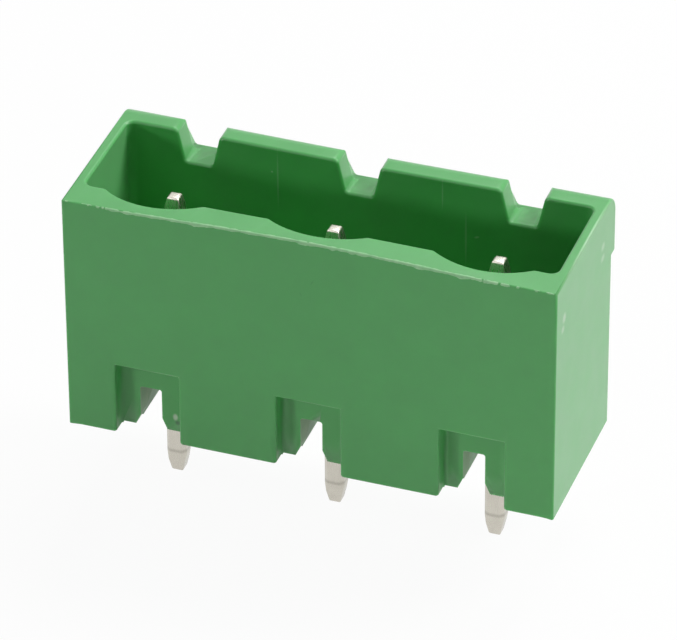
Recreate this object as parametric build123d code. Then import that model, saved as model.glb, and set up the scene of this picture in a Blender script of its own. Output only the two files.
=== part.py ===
from build123d import *
import os

# Upright board half of a pluggable terminal block: one moulded socket with pressed-in pins.
# Lengths are millimetres. X runs along the row of poles, Y from the front wall to the latch
# wall, and Z up from the board. The origin is on the board, in the middle of the row of pins.

# Row of poles
poles = 3
pitch = 7.62

# Outside of the housing
housing_height = 12.0
body_depth = 8.1
pins_behind_front = 3.75
outer_edge_round = 0.1

# Ledge along the top of the back wall, where the plug's latch hooks over
ledge_reach = 0.5
ledge_height = 3.1
ledge_round = 0.95

# Socket that takes the plug
socket_floor = 3.8
end_wall = 0.5
back_wall = 1.05
front_wall = 1.55
front_wall_at_scallop = 0.69
land_between_scallops = 2.88
socket_corner_round = 0.4
rim_round = 0.15
scallop_rim_round = 0.06

# Tapered notches in the rim of the latch wall, one for each pole, wider through the ledge
rim_notch_depth = 1.65
rim_notch_floor_width = 1.28
rim_notch_mouth_width = 2.02
rim_notch_floor_round = 0.2
rim_notch_mouth_round = 0.3
ledge_notch_floor_width = 1.42
ledge_notch_mouth_width = 2.96

# Recessed window at the foot of the front wall, one for each pole
window_width = 3.02
window_height = 3.66
window_recess = 0.8
window_foot_round = 0.15

# Plate behind the window, which stops just short of the board
plate_thickness = 0.9
plate_lift = 0.12

# Slot through the plate into the solder chamber, off-centre and wider at its foot
slot_left = 0.64
slot_right = 0.39
slot_height = 2.2
slot_corner_round = 0.12
slot_bevel_width = 0.24
slot_bevel_top = 0.67

# Solder chamber around each pin, open to the board
chamber_half_width = 0.88
chamber_behind_pin = 1.2
chamber_corner_round = 0.2

# Core pockets that keep the base as thin as its walls
core_wall = 1.0
core_roof = 1.2
core_corner_round = 0.3

# Contact pin: square with its edges taken off, and coined to a point on four sides at each end
pin_width = 0.95
pin_edge = 0.2
contact_below_rim = 1.35
contact_tip_width = 0.54
contact_taper = 1.0
tail_length = 4.15
tail_tip_width = 0.52
tail_side_taper = 1.05
tail_face_taper = 1.25
tip_round = 0.08

# Coined ears that stop the pin in the housing's floor
ear_reach = 0.22
ear_thickness = 0.45
ear_height = 1.0

# How far a cutting shape runs past the face that it opens
overrun = 1.0

housing_length = poles * pitch
front_face = -pins_behind_front
back_face = front_face + body_depth
ledge_face = back_face + ledge_reach
socket_front = front_face + front_wall
socket_back = back_face - back_wall
socket_half_length = housing_length / 2 - end_wall
window_back = front_face + window_recess
plate_back = window_back + plate_thickness
contact_top = housing_height - contact_below_rim
pole_places = [(pole - (poles - 1) / 2) * pitch for pole in range(poles)]
core_places = [(a + b) / 2 for a, b in zip(pole_places, pole_places[1:])]


def rounded_at(sketch, points, radius):
    """The sketch with the corners nearest to the given points rounded."""
    corners = [sketch.vertices().sort_by_distance(point)[0] for point in points]
    return fillet(corners, radius)


def across_y(outline, y):
    """An outline drawn in X and Z, set at one Y."""
    return Plane.XZ.offset(-y) * outline


def cut_along_y(outline, start, end):
    """A cutting shape with one outline in X and Z, from one Y to another."""
    return extrude(across_y(outline, start), amount=start - end)


def outer_body():
    """The block and its latch ledge, as one side profile drawn out along the row."""
    ledge_underside = housing_height - ledge_height
    profile = Polygon(
        (front_face, 0),
        (back_face, 0),
        (back_face, ledge_underside),
        (ledge_face, ledge_underside),
        (ledge_face, housing_height),
        (front_face, housing_height),
        align=None,
    )
    profile = rounded_at(profile, [(ledge_face, housing_height)], ledge_round)
    body = extrude(Plane.YZ * profile, amount=housing_length / 2, both=True)
    end_faces = [body.faces().sort_by(Axis.X)[0], body.faces().sort_by(Axis.X)[-1]]
    outer_edges = [edge for face in end_faces for edge in face.edges() if edge.center().Z > 0.01]
    return fillet(outer_edges, outer_edge_round)


def socket_outline():
    """The socket seen from above: square at the back, scalloped round each pole in front."""
    half_chord = (pitch - land_between_scallops) / 2
    scallop = front_wall - front_wall_at_scallop
    left, right = -socket_half_length, socket_half_length
    path = [(left, socket_front)]
    outline = []
    for x in pole_places:
        scallop_start = (x - half_chord, socket_front)
        scallop_end = (x + half_chord, socket_front)
        outline.append(Line(path[-1], scallop_start))
        outline.append(ThreePointArc(scallop_start, (x, socket_front - scallop), scallop_end))
        path.append(scallop_end)
    outline.append(Polyline(path[-1], (right, socket_front), (right, socket_back), (left, socket_back), path[0]))
    face = make_face(Curve() + outline)
    corners = [(x, y) for x in (left, right) for y in (socket_front, socket_back)]
    end_land = (housing_length - (poles - 1) * pitch) / 2 - end_wall - half_chord
    return rounded_at(face, corners, min(socket_corner_round, 0.8 * end_land))


def notch_outline(floor_width, mouth_width):
    """A tapered notch in X and Z, with soft corners at its floor and its mouth."""
    floor = housing_height - rim_notch_depth
    above = housing_height + overrun
    floor_half = floor_width / 2
    mouth_half = mouth_width / 2
    shoulder = mouth_half + 2 * rim_notch_mouth_round
    outline = Polygon(
        (-floor_half, floor),
        (floor_half, floor),
        (mouth_half, housing_height),
        (shoulder, housing_height),
        (shoulder, above),
        (-shoulder, above),
        (-shoulder, housing_height),
        (-mouth_half, housing_height),
        align=None,
    )
    floor_corners = [(-floor_half, floor), (floor_half, floor)]
    mouth_corners = [(-mouth_half, housing_height), (mouth_half, housing_height)]
    outline = rounded_at(outline, floor_corners, rim_notch_floor_round)
    return rounded_at(outline, mouth_corners, rim_notch_mouth_round)


def rim_notch():
    """One notch, straight through the latch wall and its ledge."""
    outline = notch_outline(rim_notch_floor_width, rim_notch_mouth_width)
    return cut_along_y(outline, 0, ledge_face + overrun)


def notch_flare():
    """The widening of a notch through the ledge, from the back wall's face to the ledge's own."""
    narrow = notch_outline(rim_notch_floor_width, rim_notch_mouth_width)
    wide = notch_outline(ledge_notch_floor_width, ledge_notch_mouth_width)
    return loft([across_y(narrow, back_face), across_y(wide, ledge_face)], ruled=True)


def solder_window():
    """One recess at the foot of the front wall, with soft lower corners."""
    half = window_width / 2
    foot = half + 2 * window_foot_round
    outline = Polygon(
        (-half, window_height),
        (-half, 0),
        (-foot, 0),
        (-foot, -overrun),
        (foot, -overrun),
        (foot, 0),
        (half, 0),
        (half, window_height),
        align=None,
    )
    outline = rounded_at(outline, [(-half, 0), (half, 0)], window_foot_round)
    return cut_along_y(outline, front_face - overrun, window_back)


def plate_relief():
    """The shallow space between the plate's foot and the board."""
    half = window_width / 2
    outline = Polygon(
        (-half, -overrun),
        (half, -overrun),
        (half, plate_lift),
        (-half, plate_lift),
        align=None,
    )
    return cut_along_y(outline, front_face, plate_back)


def window_slot():
    """The slot from the window to the solder chamber, with both sides bevelled at the foot."""
    foot_left = -slot_left - slot_bevel_width
    foot_right = slot_right + slot_bevel_width
    outline = Polygon(
        (foot_left, -overrun),
        (foot_right, -overrun),
        (foot_right, plate_lift),
        (slot_right, slot_bevel_top),
        (slot_right, slot_height),
        (-slot_left, slot_height),
        (-slot_left, slot_bevel_top),
        (foot_left, plate_lift),
        align=None,
    )
    top_corners = [(slot_right, slot_height), (-slot_left, slot_height)]
    outline = rounded_at(outline, top_corners, slot_corner_round)
    return cut_along_y(outline, front_face, plate_back + overrun)


def solder_chamber():
    """The space round a pin's foot, open downwards."""
    front = plate_back
    back = chamber_behind_pin
    outline = Pos(0, (front + back) / 2) * Rectangle(2 * chamber_half_width, back - front)
    outline = fillet(outline.vertices(), chamber_corner_round)
    return extrude(Pos(0, 0, -overrun) * outline, amount=slot_height + overrun)


def core_pocket():
    """A pocket in the underside, between two solder chambers."""
    width = pitch - 2 * chamber_half_width - 2 * core_wall
    front = window_back + core_wall
    back = back_face - core_wall
    outline = Pos(0, (front + back) / 2) * Rectangle(width, back - front)
    outline = fillet(outline.vertices(), core_corner_round)
    return extrude(Pos(0, 0, -overrun) * outline, amount=socket_floor - core_roof + overrun)


def pin_shaft(start, end):
    """The pin's square section with its edges taken off, from one height to another."""
    square = Rectangle(pin_width, pin_width)
    section = chamfer(square.vertices(), pin_edge)
    return extrude(Pos(0, 0, start) * section, amount=end - start)


def ears():
    """The two coined ears, flush with the socket's floor."""
    outline = Rectangle(pin_width + 2 * ear_reach, ear_thickness)
    return extrude(Pos(0, 0, socket_floor - ear_height) * outline, amount=ear_height)


def pin_seat():
    """The hole that a pin is pressed into: its own section, with a slot for the ears."""
    return pin_shaft(0, socket_floor + overrun) + ears()


def pin_view(tail_taper):
    """The pin seen square on to one side: tapered to a tip at each end."""
    half = pin_width / 2
    right = [
        (tail_tip_width / 2, -tail_length),
        (half, -tail_length + tail_taper),
        (half, contact_top - contact_taper),
        (contact_tip_width / 2, contact_top),
    ]
    left = [(-x, z) for x, z in reversed(right)]
    return Polygon(*right, *left, align=None)


def contact_pin():
    """One straight pin: solder tail below, contact blade above, and its ears."""
    pin = pin_shaft(-tail_length, contact_top)
    pin &= extrude(Plane.XZ * pin_view(tail_side_taper), amount=pin_width, both=True)
    pin &= extrude(Plane.YZ * pin_view(tail_face_taper), amount=pin_width, both=True)
    tip_edges = pin.edges().group_by(Axis.Z)[0] + pin.edges().group_by(Axis.Z)[-1]
    return fillet(tip_edges, tip_round) + ears()


def soften_rim(body):
    """The body with the socket's upper edge rounded, least where the scallops are."""
    notch_floor = housing_height - rim_notch_depth
    rim = [
        edge
        for edge in body.edges()
        if edge.center().Z > notch_floor - 0.01
        and abs(edge.center().X) < socket_half_length + 0.01
        and front_face + 0.01 < edge.center().Y < socket_back + 0.01
    ]
    scallops = [edge for edge in rim if edge.center().Y < socket_front - 0.01]
    body = fillet([edge for edge in rim if edge not in scallops], rim_round)
    scallops = [
        edge
        for edge in body.edges().group_by(Axis.Z)[-1]
        if front_face + 0.01 < edge.center().Y < socket_front - 0.01
    ]
    return fillet(scallops, scallop_rim_round)


def housing():
    """The whole moulding."""
    socket = extrude(Pos(0, 0, socket_floor) * socket_outline(), amount=housing_height)
    notches = [Pos(x, 0) * rim_notch() for x in pole_places]
    body = soften_rim(outer_body() - socket - notches)
    for x in pole_places:
        base_cuts = [solder_window(), plate_relief(), window_slot(), solder_chamber(), pin_seat()]
        body -= [Pos(x, 0) * cut for cut in [notch_flare(), *base_cuts]]
    for x in core_places:
        body -= Pos(x, 0) * core_pocket()
    return body


def save(shape, name):
    """Write one piece to its own file."""
    shape.label = name
    export_step(shape, f"parts/{name}.step")


os.makedirs("parts", exist_ok=True)
save(housing(), "housing")
for number, x in enumerate(pole_places, start=1):
    save(Pos(x, 0) * contact_pin(), f"contact_pin_{number}")
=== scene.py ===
import math

import bmesh
import bpy
from mathutils import Matrix, Vector


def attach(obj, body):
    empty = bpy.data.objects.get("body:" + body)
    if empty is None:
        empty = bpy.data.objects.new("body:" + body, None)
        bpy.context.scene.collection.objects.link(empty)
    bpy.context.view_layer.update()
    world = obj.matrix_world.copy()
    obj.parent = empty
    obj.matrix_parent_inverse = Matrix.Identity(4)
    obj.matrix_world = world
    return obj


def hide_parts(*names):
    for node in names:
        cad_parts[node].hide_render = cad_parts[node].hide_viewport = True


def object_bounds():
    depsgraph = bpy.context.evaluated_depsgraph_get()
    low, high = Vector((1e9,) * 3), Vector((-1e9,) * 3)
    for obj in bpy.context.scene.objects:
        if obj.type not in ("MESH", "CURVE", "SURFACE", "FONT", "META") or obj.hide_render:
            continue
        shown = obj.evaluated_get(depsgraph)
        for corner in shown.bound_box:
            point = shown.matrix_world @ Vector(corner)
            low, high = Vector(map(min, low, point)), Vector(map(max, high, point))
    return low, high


# Looks of an upright three-pole board header: a green moulded socket with tin-plated pins.
# Lengths are metres. Names that end in _mm are millimetres.

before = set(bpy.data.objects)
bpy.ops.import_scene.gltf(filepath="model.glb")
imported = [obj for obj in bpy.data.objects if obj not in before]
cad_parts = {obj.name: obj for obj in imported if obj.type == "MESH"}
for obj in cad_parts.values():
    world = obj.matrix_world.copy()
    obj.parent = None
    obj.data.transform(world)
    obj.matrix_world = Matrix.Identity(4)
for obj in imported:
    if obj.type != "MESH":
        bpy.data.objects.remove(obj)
cad_low, cad_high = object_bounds()

MM = 0.001

# Photograph: the angle it was taken from, and its frame
VIEW_AZIMUTH = 19.567
VIEW_ELEVATION = 34.477
VIEW_ROLL = -0.368
VIEW_DISTANCE_MM = 263.04
VIEW_TARGET_MM = (0.059, 0.240, 5.572)
IMAGE_WIDTH_PX = 677
FOCAL_LENGTH_PX = 5909.6
SENSOR_WIDTH_MM = 36.0

# Lamps aim at the middle of the housing from this far away
LAMP_AIM_MM = (0.0, 0.5, 6.0)
LAMP_DISTANCE_MM = 300.0

# Sizes that the scene takes from the moulding
HALF_LENGTH_MM = cad_high.x / MM
FRONT_FACE_MM = cad_low.y / MM
RIM_MM = cad_high.z / MM
BACK_WALL_INSIDE_MM = 3.3

# Cooling drew the long walls in between the ends, most at the rim. The inner edge of the front
# wall moved less than its outer face.
FRONT_BOW_MM = 0.36
FRONT_BOW_INSIDE_SHARE = 0.22
FRONT_WALL_MM = 1.55
BACK_BOW_MM = 0.1

# The walls are divided this finely before they are bowed
BOW_STEP_ALONG_MM = 0.75
BOW_STEP_UP_MM = 1.5

# Softened edges of the moulding. Some are left as the CAD model has them: the ends, which are
# rounded there, the base seen from below, the notches' flares and the foot of the socket's
# walls. A zone is a low and a high corner in Y and Z.
EDGE_ROUND_MM = 0.085
END_ROUND_MM = 0.1
BASE_ZONE_MM = ((-3.05, -0.1), (3.8, 3.75))
FLARE_ZONE_MM = ((4.3, 10.2), (5.0, 12.1))
FOOT_ZONE_MM = ((-3.8, 3.75), (4.9, 3.85))
MERGE_MM = 0.0005

# Faces that meet at more than this are a crease, and are not shaded as one surface
CREASE_DEG = 50

# Softened edges of the pins, and the height and half width of their two tips
PIN_EDGE_ROUND_MM = 0.05
PIN_TIP_ROUND_MM = 0.11
# Height of the pins' shoulder, where a band of painted shade lies
PIN_FOLD_MM = -2.92
PIN_IN_FLOOR_MM = (2.7, 3.85)
PIN_TIPS_MM = ((cad_low.z / MM, 0.26), (10.65, 0.27))

# How far the top of one contact was pushed along the row and up when it was pressed in
PUSHED_CONTACT_MM = {"contact_pin_1": (0.09, 0.12)}
SOCKET_FLOOR_MM = 3.8

# Flash along the front wall's upper edge: a thin rib, with thicker torn places
FLASH_ENDS_MM = (-11.25, 11.25)
FLASH_STEP_MM = 0.1
FLASH_TAPER_MM = 0.6
FLASH_RADIUS_MM = 0.074
FLASH_WAVES_MM = ((0.006, 2.1, 0.6), (0.005, 5.3, 2.0), (0.003, 11.0, 4.1))
FLASH_CLEARANCE_MM = 0.004
FLASH_TEARS_MM = (
    # place along the row, half width, added radius
    (-5.2, 0.45, 0.05),
    (-3.6, 0.15, 0.03),
    (-0.2, 0.6, 0.045),
    (1.1, 0.2, 0.03),
    (2.0, 0.12, 0.07),
    (2.4, 0.35, 0.03),
    (5.1, 0.5, 0.045),
    (7.05, 0.28, 0.055),
    (8.1, 0.32, 0.055),
    (8.8, 0.12, 0.04),
)

PAPER_WHITE = "#FFFFFF"


def linear(hex_colour):
    """An sRGB hex value as linear RGBA."""
    parts = [int(hex_colour[i : i + 2], 16) / 255 for i in (1, 3, 5)]
    return tuple(c / 12.92 if c <= 0.04045 else ((c + 0.055) / 1.055) ** 2.4 for c in parts) + (1.0,)


def add_node(tree, kind, values=None, **settings):
    """One node with its settings, and its inputs set to a value or linked to an output."""
    node = tree.nodes.new(kind)
    for name, value in settings.items():
        setattr(node, name, value)
    for key, value in (values or {}).items():
        socket = node.inputs[key]
        if isinstance(value, bpy.types.NodeSocket):
            tree.links.new(value, socket)
        else:
            socket.default_value = value
    return node


def new_material(name):
    """An empty node material and its output node."""
    material = bpy.data.materials.new(name)
    material.use_nodes = True
    material.node_tree.nodes.clear()
    output = add_node(material.node_tree, "ShaderNodeOutputMaterial")
    return material, material.node_tree, output


def spot(tree, place, centre_mm, half_size_mm, strength, tilt=0.0):
    """A soft oval patch painted into the plastic's colour: its strength at the centre, and nothing past its edge."""
    centred = add_node(
        tree,
        "ShaderNodeMapping",
        {
            "Vector": place,
            "Location": [c * MM for c in centre_mm],
            "Rotation": (0.0, math.radians(tilt), 0.0),
            "Scale": [s * MM for s in half_size_mm],
        },
        vector_type="TEXTURE",
    )
    reach = add_node(tree, "ShaderNodeVectorMath", {0: centred.outputs[0]}, operation="LENGTH")
    fade = add_node(
        tree,
        "ShaderNodeMapRange",
        {"Value": reach.outputs["Value"], "From Min": 0.3, "From Max": 1.0, "To Min": strength, "To Max": 0.0},
        interpolation_type="SMOOTHSTEP",
    )
    return fade.outputs["Result"]


def strongest(tree, masks):
    """The strongest of several masks at each point."""
    total = masks[0]
    for mask in masks[1:]:
        total = add_node(tree, "ShaderNodeMath", {0: total, 1: mask}, operation="MAXIMUM").outputs[0]
    return total


# Pale and dark spots in the plastic's colour: flow lines, specks, gate marks and scratches left by moulding and
# handling, a painted highlight along the end's top edge, a painted glint on the first leg and a darker spot under it.
# Each is a centre, half sizes, strength and tilt.
PALE_MARKS_AND_HIGHLIGHTS = (
    ((-3.84, 3.3, 10.4), (0.06, 0.3, 1.9), 0.22, 0),
    ((3.91, 3.2, 11.2), (0.05, 0.3, 1.0), 0.2, 0),
    ((5.0, 3.3, 9.1), (0.07, 0.3, 1.7), 0.24, 0),
    ((-4.11, 3.3, 10.72), (0.09, 0.1, 0.09), 0.75, 0),
    ((5.51, 3.3, 9.26), (0.18, 0.1, 0.08), 0.45, -20),
    ((11.43, 2.99, 10.22), (0.2, 0.35, 0.28), 0.42, 0),
    ((11.43, 2.98, 9.62), (0.2, 0.35, 0.25), 0.4, 0),
    ((11.43, -2.64, 10.08), (0.2, 0.33, 0.36), 0.5, 0),
    ((11.43, -2.82, 9.58), (0.2, 0.28, 0.26), 0.42, 0),
    # Painted highlight along the end's rounded top edge, where it catches the light
    ((11.41, 0.4, 11.98), (0.13, 5.6, 0.13), 0.35, 0),
    # Painted glint on the first leg's front face
    ((-6.6, -2.95, 0.87), (0.16, 0.1, 0.24), 0.9, 0),
)
DARK_MARKS = (
    ((0.17, -3.75, 9.99), (0.06, 0.4, 0.3), 0.35, 30),
    ((-0.35, -3.75, 9.29), (0.06, 0.4, 0.2), 0.2, -30),
    # Darker spot under the painted glint on the first leg
    ((-6.5, -2.95, 0.58), (0.16, 0.1, 0.16), 0.6, 0),
)


def moulded_polyamide():
    """Green polyamide, injection moulded: satin, faintly mottled, with a few flow lines and other marks, and a
    painted highlight and a painted glint.
    """
    material, tree, output = new_material("moulded_polyamide")
    place = add_node(tree, "ShaderNodeTexCoord").outputs["Object"]

    mottle_size_mm = 1.4
    mottle = add_node(
        tree, "ShaderNodeTexNoise", {"Vector": place, "Scale": 1 / (mottle_size_mm * MM), "Detail": 3.0}
    )
    shade = add_node(
        tree,
        "ShaderNodeMix",
        {"Factor": mottle.outputs[0], "A": linear("#4AA956"), "B": linear("#51B25D")},
        data_type="RGBA",
    )
    # Pale spots: real marks, the painted highlight on the end's top edge and the painted glint on the leg
    pale = strongest(tree, [spot(tree, place, *mark) for mark in PALE_MARKS_AND_HIGHLIGHTS])
    dark = strongest(tree, [spot(tree, place, *mark) for mark in DARK_MARKS])
    shade = add_node(
        tree,
        "ShaderNodeMix",
        {"Factor": pale, "A": shade.outputs["Result"], "B": linear("#C9D9C4")},
        data_type="RGBA",
    )
    shade = add_node(
        tree,
        "ShaderNodeMix",
        {"Factor": dark, "A": shade.outputs["Result"], "B": linear("#1F5529")},
        data_type="RGBA",
    )

    # The eroded steel of the mould leaves a fine matt grain, which also scatters the gloss
    grain_mm = 0.12
    grain = add_node(
        tree, "ShaderNodeTexNoise", {"Vector": place, "Scale": 1 / (grain_mm * MM), "Detail": 2.0}
    )
    bump = add_node(
        tree, "ShaderNodeBump", {"Height": grain.outputs[0], "Distance": 0.004 * MM, "Strength": 0.5}
    )
    gloss = add_node(
        tree,
        "ShaderNodeMapRange",
        {"Value": mottle.outputs[0], "From Min": 0.3, "From Max": 0.7, "To Min": 0.3, "To Max": 0.37},
    )
    shader = add_node(
        tree,
        "ShaderNodeBsdfPrincipled",
        {
            "Base Color": shade.outputs["Result"],
            "Roughness": gloss.outputs["Result"],
            "IOR": 1.56,
            "Subsurface Weight": 0.5,
            "Subsurface Radius": (0.45, 1.0, 0.5),
            "Subsurface Scale": 0.4 * MM,
            "Sheen Weight": 0.4,
            "Sheen Roughness": 0.4,
            "Normal": bump.outputs["Normal"],
        },
    )
    tree.links.new(shader.outputs[0], output.inputs["Surface"])
    return material


def feathered_polyamide():
    """The same plastic torn thin at the edge of the mould: paler than the body, partly whitened where it was
    stretched and partly a painted highlight of the edge.
    """
    material, tree, output = new_material("feathered_polyamide")
    place = add_node(tree, "ShaderNodeTexCoord").outputs["Object"]
    tear_size_mm = 0.35
    tears = add_node(
        tree, "ShaderNodeTexNoise", {"Vector": place, "Scale": 1 / (tear_size_mm * MM), "Detail": 2.0}
    )
    # The pale colours hold a painted highlight of the front edge as well as the whitened plastic
    shade = add_node(
        tree,
        "ShaderNodeMix",
        {"Factor": tears.outputs[0], "A": linear("#6DBE79"), "B": linear("#B4DFB0")},
        data_type="RGBA",
    )
    shader = add_node(
        tree,
        "ShaderNodeBsdfPrincipled",
        {"Base Color": shade.outputs["Result"], "Roughness": 0.45, "IOR": 1.53},
    )
    tree.links.new(shader.outputs[0], output.inputs["Surface"])
    return material


def tin_plate():
    """Tin plating on a stamped copper alloy pin: warm grey, softly bright, drawn along the pin, with a band of
    painted shade at its shoulder.
    """
    material, tree, output = new_material("tin_plate")
    place = add_node(tree, "ShaderNodeTexCoord").outputs["Object"]
    drawn_width_mm = 0.09
    drawn_length_mm = 2.5
    drawn = add_node(
        tree,
        "ShaderNodeMapping",
        {
            "Vector": place,
            "Scale": (1 / (drawn_width_mm * MM), 1 / (drawn_width_mm * MM), 1 / (drawn_length_mm * MM)),
        },
    )
    lines = add_node(tree, "ShaderNodeTexNoise", {"Vector": drawn.outputs[0], "Scale": 1.0, "Detail": 2.0})
    cloud_size_mm = 0.8
    clouds = add_node(
        tree, "ShaderNodeTexNoise", {"Vector": place, "Scale": 1 / (cloud_size_mm * MM), "Detail": 2.0}
    )
    shade = add_node(
        tree,
        "ShaderNodeMix",
        {"Factor": clouds.outputs[0], "A": linear("#C6C1B6"), "B": linear("#DAD5CA")},
        data_type="RGBA",
    )
    # Painted shade: a dark band round the shoulder where the tail starts to taper, for the shade of the small step
    # there
    height = add_node(tree, "ShaderNodeSeparateXYZ", {0: place}).outputs["Z"]
    from_fold = add_node(tree, "ShaderNodeMath", {0: height, 1: PIN_FOLD_MM * MM}, operation="SUBTRACT")
    away = add_node(tree, "ShaderNodeMath", {0: from_fold.outputs[0]}, operation="ABSOLUTE")
    fold = add_node(
        tree,
        "ShaderNodeMapRange",
        {"Value": away.outputs[0], "From Max": 0.16 * MM, "To Min": 0.36, "To Max": 0.0},
        interpolation_type="SMOOTHSTEP",
    )
    shade = add_node(
        tree,
        "ShaderNodeMix",
        {"Factor": fold.outputs["Result"], "A": shade.outputs["Result"], "B": linear("#7D796F")},
        data_type="RGBA",
    )
    gloss = add_node(
        tree,
        "ShaderNodeMapRange",
        {"Value": lines.outputs[0], "From Min": 0.3, "From Max": 0.7, "To Min": 0.22, "To Max": 0.34},
    )
    bump = add_node(
        tree, "ShaderNodeBump", {"Height": lines.outputs[0], "Distance": 0.003 * MM, "Strength": 0.6}
    )
    shader = add_node(
        tree,
        "ShaderNodeBsdfPrincipled",
        {
            "Base Color": shade.outputs["Result"],
            "Metallic": 1.0,
            "Roughness": gloss.outputs["Result"],
            "Normal": bump.outputs["Normal"],
        },
    )
    tree.links.new(shader.outputs[0], output.inputs["Surface"])
    return material


def bow_along(x):
    """How much of a long wall's bow there is at one place along the row: none at the ends."""
    return math.cos(math.pi * x / (2 * HALF_LENGTH_MM)) ** 2


def bowed(point):
    """Where cooling moved a point of the moulding to."""
    x, y, z = (c / MM for c in point)
    amount = bow_along(x) * (max(z, 0.0) / RIM_MM) ** 2
    inwards = min((y - FRONT_FACE_MM) / FRONT_WALL_MM, 1.0)
    if y < FRONT_FACE_MM + FRONT_WALL_MM + 0.05:
        y += amount * FRONT_BOW_MM * (1 - inwards * (1 - FRONT_BOW_INSIDE_SHARE))
    elif y > BACK_WALL_INSIDE_MM - 0.05:
        y -= amount * BACK_BOW_MM
    return Vector((x, y, z)) * MM


def divide(work, normal, first_mm, last_mm, step_mm):
    """Cut a mesh's upright faces and rim by evenly spaced planes, so that they can bend."""
    count = round((last_mm - first_mm) / step_mm)
    for i in range(count + 1):
        at = Vector(normal) * (first_mm + i * (last_mm - first_mm) / count) * MM
        faces = [
            f for f in work.faces if abs(f.normal.z) < 0.9 or f.calc_center_median().z > cad_high.z / 2
        ]
        edges = {edge for face in faces for edge in face.edges}
        corners = {corner for face in faces for corner in face.verts}
        bmesh.ops.bisect_plane(
            work, geom=list(corners) + list(edges) + faces, plane_co=at, plane_no=normal
        )


def edge_round(edge):
    """How far one edge of the moulding is rounded: nothing where its faces meet softly."""
    if len(edge.link_faces) != 2 or edge.calc_face_angle(0.0) < math.radians(CREASE_DEG):
        return 0.0
    ends = [vertex.co / MM for vertex in edge.verts]
    for low, high in (BASE_ZONE_MM, FLARE_ZONE_MM, FOOT_ZONE_MM):
        if all(low[0] < end.y < high[0] and low[1] < end.z < high[1] for end in ends):
            return 0.0
    if all(abs(end.x) > HALF_LENGTH_MM - END_ROUND_MM - 0.01 for end in ends):
        return 0.0
    return EDGE_ROUND_MM


def keep_in_cad_box(mesh, below_mm=0.0):
    """Bring any point of a mesh that is outside the CAD model's box back to its side."""
    for vertex in mesh.vertices:
        vertex.co = [min(max(c, low), high) for c, low, high in zip(vertex.co, cad_low, cad_high)]
        vertex.co.z = min(vertex.co.z, cad_high.z - below_mm * MM)


def make_final(piece):
    """Turn a piece's modifiers into plain mesh."""
    seen = bpy.context.evaluated_depsgraph_get()
    piece.data = bpy.data.meshes.new_from_object(piece.evaluated_get(seen), depsgraph=seen)
    piece.modifiers.clear()


def finished(piece):
    """The piece with its rounding made final, inside the CAD box, its large faces shaded flat."""
    make_final(piece)
    keep_in_cad_box(piece.data)
    piece.data.shade_smooth()
    piece.data.set_sharp_from_angle(angle=math.radians(CREASE_DEG))
    flat = piece.modifiers.new("large_faces_flat", "WEIGHTED_NORMAL")
    flat.weight = 100
    flat.keep_sharp = True
    make_final(piece)
    return piece


def moulded_housing():
    """The housing's CAD mesh, merged, bowed as the real one is, and with its edges softened."""
    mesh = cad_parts["housing"].data.copy()
    piece = bpy.data.objects.new("moulded_housing", mesh)
    bpy.context.scene.collection.objects.link(piece)
    work = bmesh.new()
    work.from_mesh(mesh)
    bmesh.ops.remove_doubles(work, verts=work.verts, dist=MERGE_MM * MM)
    bmesh.ops.dissolve_limit(
        work, angle_limit=math.radians(0.5), verts=work.verts, edges=work.edges
    )
    divide(work, (1, 0, 0), -HALF_LENGTH_MM + 0.6, HALF_LENGTH_MM - 0.6, BOW_STEP_ALONG_MM)
    divide(work, (0, 0, 1), BOW_STEP_UP_MM, RIM_MM - BOW_STEP_UP_MM, BOW_STEP_UP_MM)
    for vertex in work.verts:
        vertex.co = bowed(vertex.co)
    weight = work.edges.layers.float.new("bevel_weight_edge")
    for edge in work.edges:
        edge[weight] = edge_round(edge) / EDGE_ROUND_MM
    work.to_mesh(mesh)
    work.free()
    bevel = piece.modifiers.new("edge_round", "BEVEL")
    bevel.width = EDGE_ROUND_MM * MM
    bevel.segments = 2
    bevel.limit_method = "WEIGHT"
    bevel.use_clamp_overlap = False
    return finished(piece)


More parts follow.
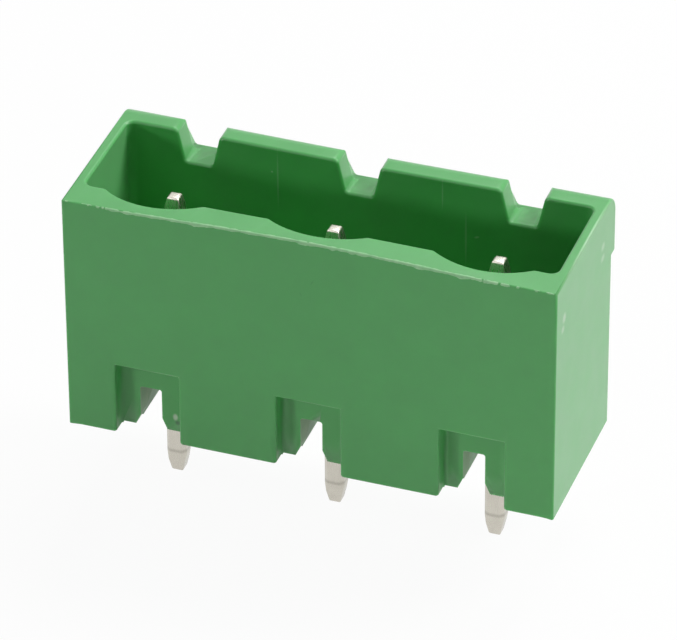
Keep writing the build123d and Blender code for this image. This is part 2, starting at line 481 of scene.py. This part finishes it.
def soft_pin(node):
    """A pin's CAD mesh with its edges rounded, most at its two tips."""
    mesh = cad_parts[node].data.copy()
    piece = bpy.data.objects.new("plated_" + node, mesh)
    bpy.context.scene.collection.objects.link(piece)
    work = bmesh.new()
    work.from_mesh(mesh)
    middle = (min(v.co.x for v in work.verts) + max(v.co.x for v in work.verts)) / 2
    for height, half_width in PIN_TIPS_MM:
        for vertex in work.verts:
            if abs(vertex.co.z / MM - height) < 0.12:
                across = math.copysign(half_width * MM, vertex.co.x - middle)
                vertex.co = (middle + across, math.copysign(half_width * MM, vertex.co.y), height * MM)
    bmesh.ops.remove_doubles(work, verts=work.verts, dist=MERGE_MM * MM)
    bmesh.ops.dissolve_limit(
        work, angle_limit=math.radians(0.5), verts=work.verts, edges=work.edges
    )
    for height in PIN_IN_FLOOR_MM:
        everything = work.verts[:] + work.edges[:] + work.faces[:]
        bmesh.ops.bisect_plane(
            work, geom=everything, plane_co=(0, 0, height * MM), plane_no=(0, 0, 1)
        )
    along, lift = PUSHED_CONTACT_MM.get(node, (0.0, 0.0))
    contact_top = PIN_TIPS_MM[1][0]
    for vertex in work.verts:
        share = max(vertex.co.z / MM - SOCKET_FLOOR_MM, 0.0) / (contact_top - SOCKET_FLOOR_MM)
        vertex.co += share * Vector((along, 0.0, lift)) * MM
    weight = work.edges.layers.float.new("bevel_weight_edge")
    for edge in work.edges:
        if len(edge.link_faces) == 2 and edge.calc_face_angle(0.0) > math.radians(12):
            heights = [vertex.co.z / MM for vertex in edge.verts]
            at_tip = min(heights) > contact_top - 0.01 or max(heights) < cad_low.z / MM + 0.01
            if at_tip:
                edge[weight] = 1.0
            elif not PIN_IN_FLOOR_MM[0] < sum(heights) / 2 < PIN_IN_FLOOR_MM[1]:
                edge[weight] = PIN_EDGE_ROUND_MM / PIN_TIP_ROUND_MM
    work.to_mesh(mesh)
    work.free()
    bevel = piece.modifiers.new("edge_round", "BEVEL")
    bevel.width = PIN_TIP_ROUND_MM * MM
    bevel.segments = 4
    bevel.limit_method = "WEIGHT"
    bevel.use_clamp_overlap = False
    return finished(piece)


def flash_radius(x):
    """How thick the flash is at one place along the row."""
    radius = FLASH_RADIUS_MM
    for centre, half_width, added in FLASH_TEARS_MM:
        away = abs(x - centre) / half_width
        if away < 1:
            radius += added * math.cos(math.pi * away / 2) ** 2
    to_end = min(x - FLASH_ENDS_MM[0], FLASH_ENDS_MM[1] - x)
    return radius * min(0.3 + to_end / FLASH_TAPER_MM, 1.0)


def flash_nodes():
    """Geometry nodes that make an uneven rib along a line of points with a radius each."""
    tree = bpy.data.node_groups.new("flash_rib", "GeometryNodeTree")
    tree.interface.new_socket("Line", in_out="INPUT", socket_type="NodeSocketGeometry")
    for name, kind in (
        ("Tear Size", "NodeSocketFloat"),
        ("Raggedness", "NodeSocketFloat"),
        ("Point Spacing", "NodeSocketFloat"),
        ("Seed", "NodeSocketFloat"),
        ("Material", "NodeSocketMaterial"),
    ):
        tree.interface.new_socket(name, in_out="INPUT", socket_type=kind)
    tree.interface.new_socket("Rib", in_out="OUTPUT", socket_type="NodeSocketGeometry")
    given = add_node(tree, "NodeGroupInput").outputs
    curve = add_node(tree, "GeometryNodeMeshToCurve", {"Mesh": given["Line"]})
    even = add_node(
        tree,
        "GeometryNodeResampleCurve",
        {"Curve": curve.outputs[0], "Length": given["Point Spacing"]},
        mode="LENGTH",
    )
    radius = add_node(tree, "GeometryNodeInputNamedAttribute", {"Name": "radius_here"}, data_type="FLOAT")
    tears = add_node(
        tree,
        "ShaderNodeTexNoise",
        {
            "W": given["Seed"],
            "Scale": add_node(tree, "ShaderNodeMath", {0: 1.0, 1: given["Tear Size"]}, operation="DIVIDE").outputs[0],
            "Detail": 3.0,
        },
        noise_dimensions="4D",
    )
    uneven = add_node(
        tree,
        "ShaderNodeMath",
        {0: add_node(tree, "ShaderNodeMath", {0: tears.outputs[0], 1: 0.5}, operation="SUBTRACT").outputs[0],
         1: given["Raggedness"], 2: 1.0},
        operation="MULTIPLY_ADD",
    )
    thick = add_node(
        tree, "ShaderNodeMath", {0: radius.outputs[0], 1: uneven.outputs[0]}, operation="MULTIPLY"
    )
    sized = add_node(
        tree, "GeometryNodeSetCurveRadius", {"Curve": even.outputs[0], "Radius": thick.outputs[0]}
    )
    ring = add_node(tree, "GeometryNodeCurvePrimitiveCircle", {"Resolution": 8, "Radius": 1.0}, mode="RADIUS")
    rib = add_node(
        tree,
        "GeometryNodeCurveToMesh",
        {"Curve": sized.outputs[0], "Profile Curve": ring.outputs[0], "Fill Caps": True},
    )
    if "Scale" in rib.inputs:
        tree.links.new(thick.outputs[0], rib.inputs["Scale"])
    whole = add_node(tree, "GeometryNodeRealizeInstances", {"Geometry": rib.outputs[0]})
    finished = add_node(
        tree, "GeometryNodeSetMaterial", {"Geometry": whole.outputs[0], "Material": given["Material"]}
    )
    add_node(tree, "NodeGroupOutput", {"Rib": finished.outputs[0]})
    return tree


def edge_flash(material):
    """The flash that the mould left along the front wall's upper edge."""
    count = round((FLASH_ENDS_MM[1] - FLASH_ENDS_MM[0]) / FLASH_STEP_MM)
    points, radii = [], []
    for i in range(count + 1):
        x = FLASH_ENDS_MM[0] + i * FLASH_STEP_MM
        radius = flash_radius(x)
        waver = sum(size * (1 + math.sin(turns * x + start)) for size, turns, start in FLASH_WAVES_MM)
        z = RIM_MM - 0.75 * radius - waver
        on_face = bowed(Vector((x, FRONT_FACE_MM, z)) * MM).y / MM
        y = max(on_face + 0.5 * radius, FRONT_FACE_MM + 1.3 * radius + FLASH_CLEARANCE_MM)
        points.append((x * MM, y * MM, z * MM))
        radii.append(radius * MM)
    mesh = bpy.data.meshes.new("edge_flash_line")
    mesh.from_pydata(points, [(i, i + 1) for i in range(count)], [])
    mesh.attributes.new("radius_here", "FLOAT", "POINT").data.foreach_set("value", radii)
    line = bpy.data.objects.new("edge_flash_line", mesh)
    bpy.context.scene.collection.objects.link(line)
    maker = line.modifiers.new("flash_rib", "NODES")
    maker.node_group = flash_nodes()
    sizes = {
        "Tear Size": 0.22 * MM,
        "Raggedness": 1.5,
        "Point Spacing": 0.06 * MM,
        "Seed": 7.0,
        "Material": material,
    }
    for item in maker.node_group.interface.items_tree:
        if item.in_out == "INPUT" and item.name in sizes:
            maker[item.identifier] = sizes[item.name]
    seen = bpy.context.evaluated_depsgraph_get()
    rib = bpy.data.meshes.new_from_object(line.evaluated_get(seen), depsgraph=seen)
    bpy.data.objects.remove(line)
    rib.shade_smooth()
    keep_in_cad_box(rib, below_mm=FLASH_CLEARANCE_MM)
    piece = bpy.data.objects.new("edge_flash", rib)
    bpy.context.scene.collection.objects.link(piece)
    return piece


def make_camera():
    """The camera at the photograph's angle and distance."""
    azimuth, elevation, roll = (math.radians(a) for a in (VIEW_AZIMUTH, VIEW_ELEVATION, VIEW_ROLL))
    back = Vector(
        (
            math.sin(azimuth) * math.cos(elevation),
            -math.cos(azimuth) * math.cos(elevation),
            math.sin(elevation),
        )
    )
    level_right = Vector((0, 0, 1)).cross(back).normalized()
    level_up = back.cross(level_right)
    right = math.cos(roll) * level_right + math.sin(roll) * level_up
    up = back.cross(right)
    data = bpy.data.cameras.new("camera")
    data.sensor_width = SENSOR_WIDTH_MM
    data.lens = FOCAL_LENGTH_PX / IMAGE_WIDTH_PX * SENSOR_WIDTH_MM
    data.clip_start = 0.01
    data.clip_end = 10
    camera = bpy.data.objects.new("camera", data)
    turn = Matrix((right, up, back)).transposed().to_4x4()
    place = Vector(VIEW_TARGET_MM) * MM + back * VIEW_DISTANCE_MM * MM
    camera.matrix_world = Matrix.Translation(place) @ turn
    bpy.context.scene.collection.objects.link(camera)
    bpy.context.scene.camera = camera


def make_lamp(name, azimuth, elevation, level, size_mm, distance_mm=LAMP_DISTANCE_MM):
    """A square soft light. Level is how bright it makes a white sheet that faces it."""
    across, up = math.radians(azimuth), math.radians(elevation)
    towards_lamp = Vector(
        (math.sin(across) * math.cos(up), -math.cos(across) * math.cos(up), math.sin(up))
    )
    data = bpy.data.lights.new(name, "AREA")
    data.size = size_mm * MM
    data.energy = level * (math.pi * distance_mm * MM) ** 2
    lamp = bpy.data.objects.new(name, data)
    lamp.location = Vector(LAMP_AIM_MM) * MM + towards_lamp * distance_mm * MM
    lamp.rotation_euler = towards_lamp.to_track_quat("Z", "Y").to_euler()
    bpy.context.scene.collection.objects.link(lamp)


def make_world(strength):
    """Even light all round, and white where the camera or a reflection sees past the object."""
    world = bpy.data.worlds.new("studio")
    world.use_nodes = True
    tree = world.node_tree
    tree.nodes.clear()
    path = add_node(tree, "ShaderNodeLightPath")
    seen = add_node(
        tree,
        "ShaderNodeMath",
        {0: path.outputs["Is Camera Ray"], 1: path.outputs["Is Glossy Ray"]},
        operation="MAXIMUM",
    )
    seen = add_node(
        tree,
        "ShaderNodeMath",
        {0: seen.outputs[0], 1: path.outputs["Is Transmission Ray"]},
        operation="MAXIMUM",
    )
    light = add_node(tree, "ShaderNodeBackground", {"Color": linear(PAPER_WHITE), "Strength": strength})
    white = add_node(tree, "ShaderNodeBackground", {"Color": linear(PAPER_WHITE), "Strength": 1.0})
    mix = add_node(
        tree, "ShaderNodeMixShader", {0: seen.outputs[0], 1: light.outputs[0], 2: white.outputs[0]}
    )
    add_node(tree, "ShaderNodeOutputWorld", {"Surface": mix.outputs[0]})
    bpy.context.scene.world = world


def make_floor():
    """A plain white sheet that the pins' tips touch."""
    material, tree, output = new_material("paper_floor")
    diffuse = add_node(tree, "ShaderNodeBsdfDiffuse", {"Color": linear("#F7F7F7")})
    path = add_node(tree, "ShaderNodeLightPath")
    to_camera = add_node(
        tree, "ShaderNodeMath", {0: path.outputs["Is Camera Ray"], 1: 0.95}, operation="MULTIPLY"
    )
    to_gloss = add_node(
        tree, "ShaderNodeMath", {0: path.outputs["Is Glossy Ray"], 1: 0.86}, operation="MULTIPLY"
    )
    share = add_node(
        tree, "ShaderNodeMath", {0: to_camera.outputs[0], 1: to_gloss.outputs[0]}, operation="MAXIMUM"
    )
    glow = add_node(tree, "ShaderNodeEmission", {"Color": linear(PAPER_WHITE), "Strength": 1.0})
    mix = add_node(
        tree, "ShaderNodeMixShader", {0: share.outputs[0], 1: diffuse.outputs[0], 2: glow.outputs[0]}
    )
    tree.links.new(mix.outputs[0], output.inputs["Surface"])
    half = 2.0
    mesh = bpy.data.meshes.new("floor")
    low = cad_low.z
    mesh.from_pydata(
        [(-half, -half, low), (half, -half, low), (half, half, low), (-half, half, low)],
        [],
        [(0, 1, 2, 3)],
    )
    mesh.materials.append(material)
    floor = bpy.data.objects.new("floor", mesh)
    bpy.context.scene.collection.objects.link(floor)


make_camera()
make_world(0.03)
make_floor()
make_lamp("front_left_key", azimuth=-40, elevation=13, level=0.175, size_mm=35)
make_lamp("front_left_softbox", azimuth=-45, elevation=45, level=0.075, size_mm=120)
make_lamp("right_back_softbox", azimuth=118, elevation=42, level=0.655, size_mm=120)
make_lamp("right_softbox", azimuth=75, elevation=20, level=0.06, size_mm=120)
make_lamp("back_softbox", azimuth=176, elevation=58, level=0.49, size_mm=140)

green = moulded_polyamide()
tin = tin_plate()

body = moulded_housing()
body.data.materials.clear()
body.data.materials.append(green)
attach(body, "root")
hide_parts("housing")

flash = edge_flash(feathered_polyamide())
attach(flash, "root")

for node in sorted(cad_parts):
    if node.startswith("contact_pin"):
        pin = soft_pin(node)
        pin.data.materials.clear()
        pin.data.materials.append(tin)
        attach(pin, "root")
        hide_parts(node)

scene = bpy.context.scene
scene.view_settings.view_transform = "Standard"
